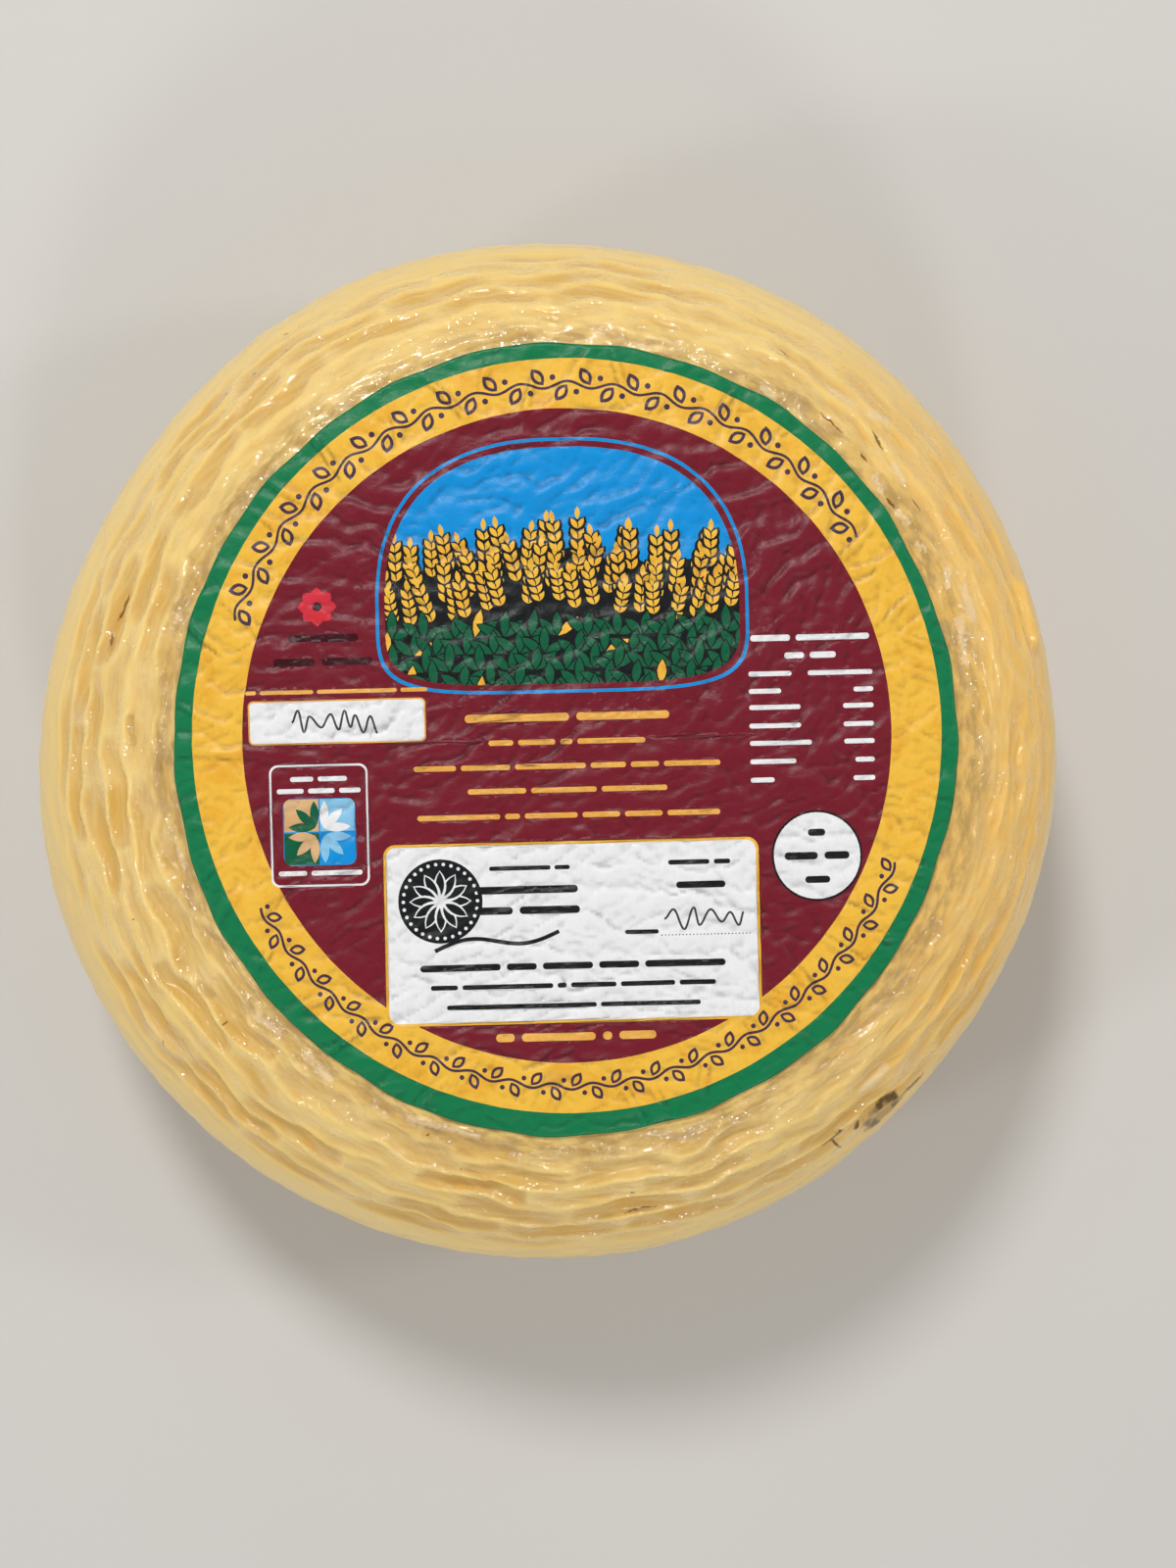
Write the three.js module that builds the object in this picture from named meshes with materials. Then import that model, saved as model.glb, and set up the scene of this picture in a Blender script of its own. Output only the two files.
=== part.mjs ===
// A basket-formed cheese wheel that rests on its base, with a round paper label on its top face.
// Millimetres, +Z up, origin under the middle of the wheel on the surface it rests on.
import * as THREE from 'three';

// Wheel
const HEIGHT = 85;
const BELLY_HEIGHT = 42.5;
const BELLY_RADIUS = 102.2;
const TOP_RADIUS = 75.8;
const BASE_RADIUS = 74;

// The side's section: how far each end of a half runs along its own direction before it bends
const SHOULDER_REACH = 7;
const FLANK_REACH = 22;

// The wheel leans a little, so its two faces sit off the belly's centre
const TOP_SHIFT = { x: 5.5, y: 1.2 };
const BASE_SHIFT = { x: -1.6, y: -0.4 };

// Slow lobes of the belly's outline: how many round the wheel, how high, and the angle of one crest
const LOBES = [
  { count: 2, height: 0.6, crest: 43 },
  { count: 3, height: 0.33, crest: -17 },
  { count: 4, height: 0.25, crest: 14 },
  { count: 5, height: 0.31, crest: -21 },
  { count: 6, height: 0.2, crest: -6 },
];

// Basket imprint: rows of long dimples, each row set half a dimple round from the last
const DIMPLES_ROUND = 25;
const ROW_PITCH = 5.8;
const FIRST_ROW = 1.6;
const DIMPLE_DEPTH = 1.7;
const SHALLOWEST_DIMPLE = 0.3;
const ROW_WANDER = 0.2;
const ROW_SLIP = 0.35;
const BELLY_WEAR = 0.4;
const BELLY_WEAR_WIDTH = 13;
const FACE_FADE = 4;

// The imprint is deepest towards this angle and faintest across from it
const DEEP_SIDE = 225;
const DEEP_SHARE = 0.78;
const SIDE_SWING = 0.34;

// Broad lumps of the flank
const LUMP_HEIGHT = 0.7;
const LUMPS_ROUND = 11;
const LUMP_PITCH = 19;

// Steps of the repeatable scatter, and the column that gives each row its own slip
const SCATTER_ACROSS = 127.1;
const SCATTER_DOWN = 311.7;
const SCATTER_SPREAD = 43758.5453;
const SLIP_COLUMN = 5;

// Paper label
const LABEL_RADIUS_X = 72.4;
const LABEL_RADIUS_Y = 73.3;
const LABEL_THICKNESS = 0.4;
const LABEL_CENTRE = { x: 4.85, y: 2 };
const EDGE_WAVE = 0.22;
const EDGE_WAVES = [7, 12, 19];

// Facets
const SEGMENTS = 4 * DIMPLES_ROUND;
const RINGS_A_ROW = 3;
const LABEL_SEGMENTS = 120;

const TURN = 2 * Math.PI;
const radians = THREE.MathUtils.degToRad;

// The same number between 0 and 1 every time for one pair of whole numbers
function scatter(i, j) {
  const spread = Math.sin(i * SCATTER_ACROSS + j * SCATTER_DOWN) * SCATTER_SPREAD;
  return spread - Math.floor(spread);
}

// Smooth lumps between -1 and 1, repeating after a whole number of cells round the wheel
function lumps(round, down, cells) {
  const i = Math.floor(round);
  const j = Math.floor(down);
  const across = THREE.MathUtils.smootherstep(round - i, 0, 1);
  const along = THREE.MathUtils.smootherstep(down - j, 0, 1);
  const wrap = (n) => ((n % cells) + cells) % cells;
  const upper = THREE.MathUtils.lerp(scatter(wrap(i), j), scatter(wrap(i + 1), j), across);
  const lower = THREE.MathUtils.lerp(scatter(wrap(i), j + 1), scatter(wrap(i + 1), j + 1), across);
  return 2 * THREE.MathUtils.lerp(upper, lower, along) - 1;
}

// Half of the side's section, from a face's edge to the belly, as radius and height
function halfSection(faceRadius, faceHeight) {
  const inward = Math.sign(BELLY_HEIGHT - faceHeight);
  return new THREE.CubicBezierCurve(
    new THREE.Vector2(faceRadius, faceHeight),
    new THREE.Vector2(faceRadius + SHOULDER_REACH, faceHeight),
    new THREE.Vector2(BELLY_RADIUS, BELLY_HEIGHT - inward * FLANK_REACH),
    new THREE.Vector2(BELLY_RADIUS, BELLY_HEIGHT),
  );
}

const UPPER = halfSection(TOP_RADIUS, HEIGHT);
const LOWER = halfSection(BASE_RADIUS, 0);
const SIDE_LENGTH = UPPER.getLength() + LOWER.getLength();

// The point and outward direction on the smooth section, a distance down from the top face's edge
function sectionAt(down) {
  const upperLength = UPPER.getLength();
  if (down <= upperLength) {
    const share = down / upperLength;
    const tangent = UPPER.getTangentAt(share);
    return { point: UPPER.getPointAt(share), out: new THREE.Vector2(-tangent.y, tangent.x) };
  }
  const share = (SIDE_LENGTH - down) / LOWER.getLength();
  const tangent = LOWER.getTangentAt(share);
  return { point: LOWER.getPointAt(share), out: new THREE.Vector2(tangent.y, -tangent.x) };
}

// The lean at a height: its share, from 0 at the belly to 1 at the nearer face, and that face's shift
function leanAt(height) {
  const above = height > BELLY_HEIGHT;
  const faceHeight = above ? HEIGHT : 0;
  return {
    share: (height - BELLY_HEIGHT) / (faceHeight - BELLY_HEIGHT),
    shift: above ? TOP_SHIFT : BASE_SHIFT,
  };
}

function outlineLobes(angle) {
  let sum = 0;
  for (const lobe of LOBES) {
    sum += lobe.height * Math.cos(lobe.count * (angle - radians(lobe.crest)));
  }
  return sum;
}

// Depth of the basket imprint at an angle and a distance down the side
function imprint(angle, down) {
  const turns = angle / TURN;
  const wander = ROW_WANDER * lumps(turns * 2 * DIMPLES_ROUND, down / (2 * ROW_PITCH), 2 * DIMPLES_ROUND);
  const row = (down - FIRST_ROW) / ROW_PITCH + wander;
  const rowIndex = Math.floor(row);
  const halfStep = rowIndex % 2 === 0 ? 0 : 0.5;
  const column = turns * DIMPLES_ROUND + halfStep + ROW_SLIP * scatter(rowIndex, SLIP_COLUMN);
  const columnIndex = Math.floor(column);
  const own = scatter(columnIndex % DIMPLES_ROUND, rowIndex);
  const strength = SHALLOWEST_DIMPLE + (1 - SHALLOWEST_DIMPLE) * own;
  const length = Math.sin(Math.PI * (column - columnIndex));
  const width = Math.sin(Math.PI * (row - rowIndex));
  return DIMPLE_DEPTH * strength * length * width;
}

// Share of the imprint that is left at an angle, a distance down and a height
function imprintShare(angle, down, height) {
  const bySide = DEEP_SHARE + SIDE_SWING * Math.cos(angle - radians(DEEP_SIDE));
  const fromBelly = (height - BELLY_HEIGHT) / BELLY_WEAR_WIDTH;
  const worn = 1 - BELLY_WEAR * Math.exp(-(fromBelly ** 2));
  const atTop = THREE.MathUtils.smoothstep(down, 0, FACE_FADE);
  const atBase = THREE.MathUtils.smoothstep(SIDE_LENGTH - down, 0, FACE_FADE);
  return bySide * worn * atTop * atBase;
}

// A point of the rind, a distance down the side from the top face's edge
function rindPoint(angle, down) {
  const { point, out } = sectionAt(down);
  const { share, shift } = leanAt(point.y);
  const belly = 1 - share ** 2;
  const lump = LUMP_HEIGHT * belly * lumps((angle / TURN) * LUMPS_ROUND, down / LUMP_PITCH, LUMPS_ROUND);
  const relief = lump - imprint(angle, down) * imprintShare(angle, down, point.y);
  const radius = point.x + out.x * relief + belly * outlineLobes(angle);
  return new THREE.Vector3(
    radius * Math.cos(angle) + shift.x * share,
    radius * Math.sin(angle) + shift.y * share,
    point.y + out.y * relief,
  );
}

// Closes a stack of rings, given from the lowest up, with a flat fan at each end
function closedStack(rings, lowCentre, highCentre) {
  const around = rings[0].length;
  const points = [lowCentre, ...rings.flat(), highCentre];
  const last = points.length - 1;
  const at = (ring, i) => 1 + ring * around + (i % around);
  const faces = [];
  for (let i = 0; i < around; i += 1) {
    faces.push(0, at(0, i + 1), at(0, i));
    faces.push(last, at(rings.length - 1, i), at(rings.length - 1, i + 1));
    for (let ring = 0; ring + 1 < rings.length; ring += 1) {
      faces.push(at(ring, i), at(ring, i + 1), at(ring + 1, i + 1));
      faces.push(at(ring, i), at(ring + 1, i + 1), at(ring + 1, i));
    }
  }
  const geometry = new THREE.BufferGeometry().setFromPoints(points);
  geometry.setIndex(faces);
  geometry.computeVertexNormals();
  return geometry;
}

function wheelGeometry() {
  const steps = Math.round((SIDE_LENGTH / ROW_PITCH) * RINGS_A_ROW);
  const rings = [];
  for (let step = steps; step >= 0; step -= 1) {
    const down = (step / steps) * SIDE_LENGTH;
    const ring = [];
    for (let i = 0; i < SEGMENTS; i += 1) {
      ring.push(rindPoint((i / SEGMENTS) * TURN, down));
    }
    rings.push(ring);
  }
  const baseCentre = new THREE.Vector3(BASE_SHIFT.x, BASE_SHIFT.y, 0);
  const topCentre = new THREE.Vector3(TOP_SHIFT.x, TOP_SHIFT.y, HEIGHT);
  return closedStack(rings, baseCentre, topCentre);
}

function labelRing(height) {
  const ring = [];
  for (let i = 0; i < LABEL_SEGMENTS; i += 1) {
    const angle = (i / LABEL_SEGMENTS) * TURN;
    let wave = 0;
    for (const count of EDGE_WAVES) {
      wave += (EDGE_WAVE / EDGE_WAVES.length) * Math.cos(count * angle + count);
    }
    ring.push(new THREE.Vector3(
      LABEL_CENTRE.x + (LABEL_RADIUS_X + wave) * Math.cos(angle),
      LABEL_CENTRE.y + (LABEL_RADIUS_Y + wave) * Math.sin(angle),
      height,
    ));
  }
  return ring;
}

function labelGeometry() {
  const under = HEIGHT;
  const over = HEIGHT + LABEL_THICKNESS;
  return closedStack(
    [labelRing(under), labelRing(over)],
    new THREE.Vector3(LABEL_CENTRE.x, LABEL_CENTRE.y, under),
    new THREE.Vector3(LABEL_CENTRE.x, LABEL_CENTRE.y, over),
  );
}

const wheel = new THREE.Mesh(
  wheelGeometry(),
  new THREE.MeshStandardMaterial({ color: 0xdcb878, roughness: 0.38, metalness: 0 }),
);
wheel.name = 'cheese_wheel';

const label = new THREE.Mesh(
  labelGeometry(),
  new THREE.MeshStandardMaterial({ color: 0xf3c24a, roughness: 0.55, metalness: 0 }),
);
label.name = 'paper_label';

// The wheel's own box is centred over the origin, and the label moves with it
wheel.geometry.computeBoundingBox();
const middle = wheel.geometry.boundingBox.getCenter(new THREE.Vector3());
const part = new THREE.Group();
for (const mesh of [wheel, label]) {
  mesh.geometry.translate(-middle.x, -middle.y, 0);
  part.add(mesh);
}

export default part;
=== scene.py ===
"""A basket-formed cheese wheel with a creased round paper label, seen from straight above."""
import math
import random

import bpy
import numpy as np
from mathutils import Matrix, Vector
from mathutils.geometry import delaunay_2d_cdt


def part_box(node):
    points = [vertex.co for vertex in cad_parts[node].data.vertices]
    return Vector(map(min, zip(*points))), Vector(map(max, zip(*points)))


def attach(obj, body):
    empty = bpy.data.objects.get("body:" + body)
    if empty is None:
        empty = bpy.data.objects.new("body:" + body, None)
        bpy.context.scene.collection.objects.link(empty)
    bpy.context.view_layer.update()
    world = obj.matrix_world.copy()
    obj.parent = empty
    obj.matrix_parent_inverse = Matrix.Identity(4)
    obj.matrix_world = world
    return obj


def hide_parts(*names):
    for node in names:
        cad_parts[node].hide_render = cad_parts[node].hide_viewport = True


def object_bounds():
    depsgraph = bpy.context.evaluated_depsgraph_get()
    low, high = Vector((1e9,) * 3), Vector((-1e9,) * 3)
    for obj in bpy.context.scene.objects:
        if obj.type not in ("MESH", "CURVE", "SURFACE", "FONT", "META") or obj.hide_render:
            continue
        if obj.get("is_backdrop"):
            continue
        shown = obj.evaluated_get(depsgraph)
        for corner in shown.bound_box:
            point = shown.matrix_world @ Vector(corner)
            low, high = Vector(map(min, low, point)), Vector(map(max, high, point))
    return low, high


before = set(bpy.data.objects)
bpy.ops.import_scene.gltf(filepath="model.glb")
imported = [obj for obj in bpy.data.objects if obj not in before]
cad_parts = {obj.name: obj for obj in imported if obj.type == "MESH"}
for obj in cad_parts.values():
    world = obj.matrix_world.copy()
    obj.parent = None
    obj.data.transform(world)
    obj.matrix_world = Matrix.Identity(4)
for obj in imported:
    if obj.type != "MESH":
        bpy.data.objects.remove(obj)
cad_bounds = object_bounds()

MM = 0.001
TURN = 2 * math.pi

# The wheel's sizes in millimetres, from the frame where it gives them
wheel_low, wheel_high = [np.array(corner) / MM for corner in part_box("cheese_wheel")]
label_low, label_high = [np.array(corner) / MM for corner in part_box("paper_label")]
HEIGHT = wheel_high[2]
BELLY_HEIGHT = HEIGHT / 2
BELLY_RADIUS = 102.2
TOP_RADIUS = 75.8
BASE_RADIUS = 74
SHOULDER_REACH = 7
FLANK_REACH = 22
TOP_SHIFT = np.array((5.5, 1.2))
BASE_SHIFT = np.array((-1.6, -0.4))

# Slow lobes of the belly's outline: count round the wheel, height, angle of one crest
LOBES = ((2, 0.6, 43), (3, 0.33, -17), (4, 0.25, 14), (5, 0.31, -21), (6, 0.2, -6))

# Basket imprint
DIMPLES_ROUND = 25
ROW_PITCH = 5.8
FIRST_ROW = 1.6
DIMPLE_DEPTH = 1.7
SHALLOWEST_DIMPLE = 0.2
ROW_WANDER = 0.3
ROW_SLIP = 0.35
BELLY_WEAR = 0.94
WORN_REACH = (16, 31)
WEAR_SWING = 2
WEAR_PATCH = 42
WEAR_UNEVENNESS = 2
LOWER_RETURN = 1.8
FACE_FADE = 4
TOP_FADE = (-3, 0.5)
DEEP_SIDE = 225
DEEP_SHARE = 0.78
SIDE_SWING = 0.34
LUMP_HEIGHT = 0.7
LUMPS_ROUND = 11
LUMP_PITCH = 19

# The dimples' floors are flatter than a wave, and their outer walls are the steeper ones
FLOOR_FLATNESS = 0.6
END_FLATNESS = 0.7
END_SHARE = 0.2
OUTER_STEEPNESS = 1.5

# Finer unevenness of the rind, in millimetres
STRAND_HEIGHT = 0.22
STRAND_LENGTH = 14
STRAND_PITCH = 2.6
STRAND_SHARPNESS = 3.5
KNOB_HEIGHT = 0.25
KNOB_SIZE = 5
BEND_SIZE = 13
BEND_REACH = 1.6
KINK_SIZE = 5
KINK_REACH = 0.55

# Wrinkles of the coating beside the label
WRINKLE_HEIGHT = 0.22
WRINKLE_LENGTH = 6
WRINKLE_PITCH = 1.8
WRINKLED_BAND = (-12, -4)

# The paper's edge lies this far inside the top face's edge, and the rind under it is flat
UNDER_PAPER = (-4.5, -2.5)

# At the base, this share of the fine relief is left, and all of it goes inwards
BASE_SHARE = 0.5

# Steps of the repeatable scatter, and the column that gives each row its own slip
SCATTER_ACROSS = 127.1
SCATTER_DOWN = 311.7
SCATTER_SPREAD = 43758.5453
SLIP_COLUMN = 5

# Brings the ripples to about 1 high
RIPPLE_SCALE = 1.5

# A run or sum that may be nothing is never less than this
TINY = 1e-9

# Mesh of the rind
COLUMNS = 480
UPPER_RINGS = 118
LOWER_RINGS = 56
RIM_RINGS = 16
RIM_WIDTH = 11
BASE_RINGS = 6
SECTION_SAMPLES = 400

# The belly's axis lies this far from the origin, which is under the middle of the wheel's box
BELLY_OFFSET = np.array((0.05, -0.05, 0))

# Paper label
LABEL_CENTRE = (label_low[:2] + label_high[:2]) / 2
LABEL_RADII = (label_high[:2] - label_low[:2]) / 2
PAPER_THICKNESS = 0.25
PAPER_GRID = 0.6
GRID_GAP = 0.6
MERGE_DISTANCE = 1e-4
PRINT_TURN = math.radians(1.4)

# Waves of the paper's outline: height, count and start
EDGE_WAVES = ((0.15, 7, 0), (0.12, 17, 2), (0.14, 31, 0))

# The yellow band and the maroon middle are printed a little off the paper's centre
BAND_CENTRE = np.array((0.3, 0.7))
YELLOW_RADII = np.array((69.3, 69.8))
MAROON_RADII = np.array((60, 60.5))


# Repeatable noise

def scatter(i, j):
    """The same number between 0 and 1 every time for one pair of whole numbers."""
    spread = np.sin(i * SCATTER_ACROSS + j * SCATTER_DOWN) * SCATTER_SPREAD
    return spread - np.floor(spread)


def ease(t):
    return t * t * t * (t * (6 * t - 15) + 10)


def smoothstep(value, low, high):
    t = np.clip((value - low) / (high - low), 0, 1)
    return t * t * (3 - 2 * t)


def mix(a, b, share):
    return a + (b - a) * share


def lumps(across, down, cells):
    """Smooth lumps between -1 and 1, repeating after a whole number of cells across."""
    i = np.floor(across)
    j = np.floor(down)
    ti = ease(across - i)
    tj = ease(down - j)
    left = i % cells
    right = (i + 1) % cells
    upper = mix(scatter(left, j), scatter(right, j), ti)
    lower = mix(scatter(left, j + 1), scatter(right, j + 1), ti)
    return 2 * mix(upper, lower, tj) - 1


def ripples(across, down, cells=None, seed=0):
    """Smooth uneven waves around 0, at most about 1 high, repeating after some cells across if given."""
    i = np.floor(across)
    j = np.floor(down)

    def pull(right, below):
        column = (i + right) % cells if cells else i + right
        turn = TURN * scatter(column + seed, j + below)
        return np.cos(turn) * (across - i - right) + np.sin(turn) * (down - j - below)

    ti = ease(across - i)
    tj = ease(down - j)
    return RIPPLE_SCALE * mix(mix(pull(0, 0), pull(1, 0), ti), mix(pull(0, 1), pull(1, 1), ti), tj)


def around_cells(size):
    """How many cells of about a size go round the belly, so that the noise closes on itself."""
    return round(TURN * BELLY_RADIUS / size)


def round_ripples(angle, down, length, pitch, seed):
    """Ripples of about a length round the belly and a pitch down, which close on themselves."""
    cells = around_cells(length)
    return ripples(angle / TURN * cells, down / pitch, cells, seed)


# The wheel's form

def half_section(face_radius, face_height):
    """Samples of the side's section from a face's edge to the belly: radius, height and length run."""
    inward = math.copysign(1, BELLY_HEIGHT - face_height)
    ends = np.array((
        (face_radius, face_height),
        (face_radius + SHOULDER_REACH, face_height),
        (BELLY_RADIUS, BELLY_HEIGHT - inward * FLANK_REACH),
        (BELLY_RADIUS, BELLY_HEIGHT),
    ))
    t = np.linspace(0, 1, SECTION_SAMPLES)[:, None]
    curve = (
        (1 - t) ** 3 * ends[0]
        + 3 * (1 - t) ** 2 * t * ends[1]
        + 3 * (1 - t) * t ** 2 * ends[2]
        + t ** 3 * ends[3]
    )
    run = np.concatenate(([0], np.cumsum(np.linalg.norm(np.diff(curve, axis=0), axis=1))))
    return curve, run


upper_curve, upper_run = half_section(TOP_RADIUS, HEIGHT)
lower_curve, lower_run = half_section(BASE_RADIUS, 0)
UPPER_LENGTH = upper_run[-1]
SIDE_LENGTH = UPPER_LENGTH + lower_run[-1]

# The whole section runs from the top face's centre, over the side, to the base's centre
whole_curve = np.concatenate(([(0, HEIGHT)], upper_curve, lower_curve[-2::-1], [(0, 0)]))
whole_run = np.concatenate((
    [-TOP_RADIUS],
    upper_run,
    SIDE_LENGTH - lower_run[-2::-1],
    [SIDE_LENGTH + BASE_RADIUS],
))
whole_slope = np.gradient(whole_curve, whole_run, axis=0)


def section_at(down):
    """Radius, height and outward direction on the smooth section, a distance down from the top's edge."""
    radius = np.interp(down, whole_run, whole_curve[:, 0])
    height = np.interp(down, whole_run, whole_curve[:, 1])
    out_radius = -np.interp(down, whole_run, whole_slope[:, 1])
    out_height = np.interp(down, whole_run, whole_slope[:, 0])
    return radius, height, out_radius, out_height


def lean_at(height):
    """The lean's share, from 0 at the belly to 1 at the nearer face, and that face's shift."""
    above = height > BELLY_HEIGHT
    share = (height - BELLY_HEIGHT) / (np.where(above, HEIGHT, 0) - BELLY_HEIGHT)
    return share, np.where(above[..., None], TOP_SHIFT, BASE_SHIFT)


def outline_lobes(angle):
    return sum(high * np.cos(count * (angle - math.radians(crest))) for count, high, crest in LOBES)


def imprint(angle, down):
    """Depth of the basket imprint, from 0 on a crest, and the same as a share of the deepest."""
    turns = angle / TURN
    halves = 2 * DIMPLES_ROUND
    wander = ROW_WANDER * lumps(turns * halves, down / (2 * ROW_PITCH), halves)
    row = (down - FIRST_ROW) / ROW_PITCH + wander
    row_index = np.floor(row)
    half_step = 0.5 * (row_index % 2)
    column = turns * DIMPLES_ROUND + half_step + ROW_SLIP * scatter(row_index, SLIP_COLUMN)
    column_index = np.floor(column)
    own = scatter(column_index % DIMPLES_ROUND, row_index)
    strength = SHALLOWEST_DIMPLE + (1 - SHALLOWEST_DIMPLE) * own
    along = mix(END_SHARE, 1, np.sin(math.pi * (column - column_index)) ** END_FLATNESS)
    across = np.sin(math.pi * (row - row_index) ** OUTER_STEEPNESS) ** FLOOR_FLATNESS
    return DIMPLE_DEPTH * strength * along * across, strength * along * across


def imprint_share(angle, down, height):
    by_side = DEEP_SHARE + SIDE_SWING * np.cos(angle - math.radians(DEEP_SIDE))
    at_top = smoothstep(down, *TOP_FADE)
    at_base = smoothstep(SIDE_LENGTH - down, 0, FACE_FADE)
    return by_side * unworn(angle, down, height) * at_top * at_base


def unworn(angle, down, height):
    """Share of the relief that is left where the belly is worn smooth, most on the deep side."""
    from_belly = np.maximum(height - BELLY_HEIGHT, LOWER_RETURN * (BELLY_HEIGHT - height))
    from_belly += WEAR_SWING * np.cos(angle - math.radians(DEEP_SIDE))
    from_belly += WEAR_UNEVENNESS * round_ripples(angle, down, WEAR_PATCH, WEAR_PATCH, seed=91)
    return mix(1 - BELLY_WEAR, 1, smoothstep(from_belly, *WORN_REACH))


def side_place(angle, down):
    """Where a point lies on the side rolled straight down, for patterns that don't stretch over it."""
    ends = (-TOP_RADIUS, 0, SIDE_LENGTH, SIDE_LENGTH + BASE_RADIUS)
    radius = np.interp(down, ends, (0, 1, 1, 0)) * BELLY_RADIUS
    depth = np.clip(down, 0, SIDE_LENGTH)
    places = np.broadcast_arrays(radius * np.cos(angle), radius * np.sin(angle), -depth)
    return np.stack(places, axis=-1)


class Mark:
    """A short line on the rind: degrees round and millimetres down at both ends, and half its width."""

    def __init__(self, start, start_down, end, end_down, half_width, strength=1.0):
        self.start = side_place(math.radians(start), start_down)
        self.end = side_place(math.radians(end), end_down)
        self.half_width = half_width
        self.strength = strength

    def distance(self, places):
        """Distance from the line over its half width."""
        run = self.end - self.start
        length = max(float(run @ run), TINY)
        share = np.clip(((places - self.start) @ run) / length, 0, 1)
        return np.linalg.norm(places - self.start - share[..., None] * run, axis=-1) / self.half_width


def marks(*rows):
    """Marks from rows of what a mark takes: degrees and millimetres at the start, then at the end."""
    return [Mark(*row) for row in rows]


# Folds and slivers of the coating, which stand proud
FOLDS = marks(
    (246.8, -0.4, 256.8, -1.2, 1.3, 1.1), (242.6, -2.4, 246.4, -0.2, 0.7, 0.4),
    (246.4, -0.2, 247, 2.6, 0.7, 0.35), (259.5, -0.4, 262.4, -0.7, 0.7, 0.4),
    (274.5, -1.6, 279, -0.6, 1.1, 0.4), (279, -0.6, 283, -1, 0.8, 0.3), (19.3, 23.5, 12.7, 23, 2.6, 1.5),
)

# Hollows that are deeper than the imprint round them
DENTS = marks(
    (161, 15.8, 166, 17, 1.4, 1.1), (166, 17, 168, 16, 1.2, 0.9), (176.3, 6.7, 180, 6.3, 1.1, 0.9),
    (153.7, 3, 157.5, -1.6, 1.5, 0.5), (207.5, -1.3, 210.5, -1.5, 1, 0.4),
    (215.5, -1.5, 218, -1.8, 1.1, 0.4), (228.5, -1.5, 235, -1.5, 1.1, 0.4),
    (213, 7.2, 215.2, 6.3, 1.2, 0.5), (45.2, 5.8, 43, 5, 1, 0.6), (37.8, -1.2, 35.8, -1.2, 1, 0.5),
)

# Whitish patches of wrinkled coating
PALE_PATCHES = marks(
    (47.4, 9.4, 45, 12.2, 1.9), (53.4, 7.4, 50, 8.5, 1.9), (61.5, -0.7, 59.5, -1.2, 1.7),
    (40.5, 4.5, 38.3, 3.6, 1.5), (41.2, -0.7, 39, -1.2, 1.5), (35.3, -1.4, 33, -0.7, 1.6),
    (30, -1.4, 28.5, -0.7, 1.1), (24.7, 1.3, 22.5, 0, 1.3), (21.7, 3.6, 17.3, 3.1, 1.9),
    (18, 0, 11.2, -0.7, 1.6), (221.3, 0.9, 225, 0, 1.3), (229.5, -0.5, 234.8, 0.6, 1.3),
    (247, -0.5, 257, -1.1, 1.6), (310.6, 12.6, 315, 11.8, 1.8),
)

# Clusters of tiny glints
SPARKLES = marks(
    (110.2, 3.6, 106.5, 3.1, 1.6), (103.5, 2.2, 101.5, 1.8, 1.2), (96.2, 0.6, 92.3, 0.2, 1.5),
    (97, 4.9, 95.8, 5, 1.4), (99.8, 13.4, 98.2, 13.4, 1.4), (95.8, 12.6, 94.6, 12.4, 1.3),
    (86.4, 11.6, 84.6, 11.6, 1.4), (90.8, 5.4, 89, 5.4, 1.4), (120, 7.2, 115, 6.6, 1.5),
    (119.8, 13.9, 118.8, 13.9, 1.4), (124.8, 2, 122.4, 1.6, 1.6), (77.2, 0.9, 75.6, 0.9, 1.4),
    (209.6, 7.8, 207.8, 6.6, 1.6), (226, 8.1, 224.4, 8.6, 1.5), (233.2, 13, 234.4, 12.6, 1.5),
    (230.8, 20, 231.8, 19.4, 1.4), (312.4, 3.2, 316, 2.6, 1.5), (268, 9.6, 270, 9.4, 1.4),
)

# Brown stains in hollows
STAINS = marks(
    (161.5, 15.6, 168, 16.2, 1.7), (176.2, 6.7, 180.2, 6.3, 1.4), (182.2, -1.2, 182.9, -1.2, 1.1),
    (153.6, 3, 154.6, 1.8, 1.7), (156.8, -0.8, 157.8, -1.6, 1.6), (207.2, -1.3, 210.6, -1.5, 1.3),
    (215.3, -1.5, 218.2, -1.8, 1.4), (228.3, -1.5, 235.2, -1.5, 1.3), (212.8, 7.2, 215.4, 6.3, 1.5),
)

# Dark slits, and specks as short lines
SLITS = marks(
    (62, 10.2, 59.8, 9.2, 0.28), (52.8, 1.3, 48.6, 1, 0.3), (46, 6.3, 43, 5.1, 0.33),
    (45, 0.4, 43.3, 0.2, 0.33), (37.8, -1.5, 35.9, -1.3, 0.6), (35.8, 2.6, 33.4, 2.6, 0.33),
    (160.8, 16.2, 164.2, 17.3, 0.36), (166, 17.6, 167.6, 16.9, 0.3), (277.6, 18, 281.8, 17.8, 0.26),
    (278.2, 10.8, 278.8, 10.9, 0.4), (250, 1.5, 250.4, 1.3, 0.35), (255.9, 6.8, 256.1, 6.8, 0.3),
    (216.6, 25.2, 217, 26.4, 0.28), (219.1, 7.6, 219.3, 8.4, 0.3), (202, 13.8, 202, 14.2, 0.3),
    (122.7, 29.4, 123.4, 30, 0.3), (129, 23.2, 129.5, 23.2, 0.35), (133.1, 25, 133.3, 25.4, 0.35),
    (124.4, 22.8, 124.7, 22.8, 0.3),
)

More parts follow.
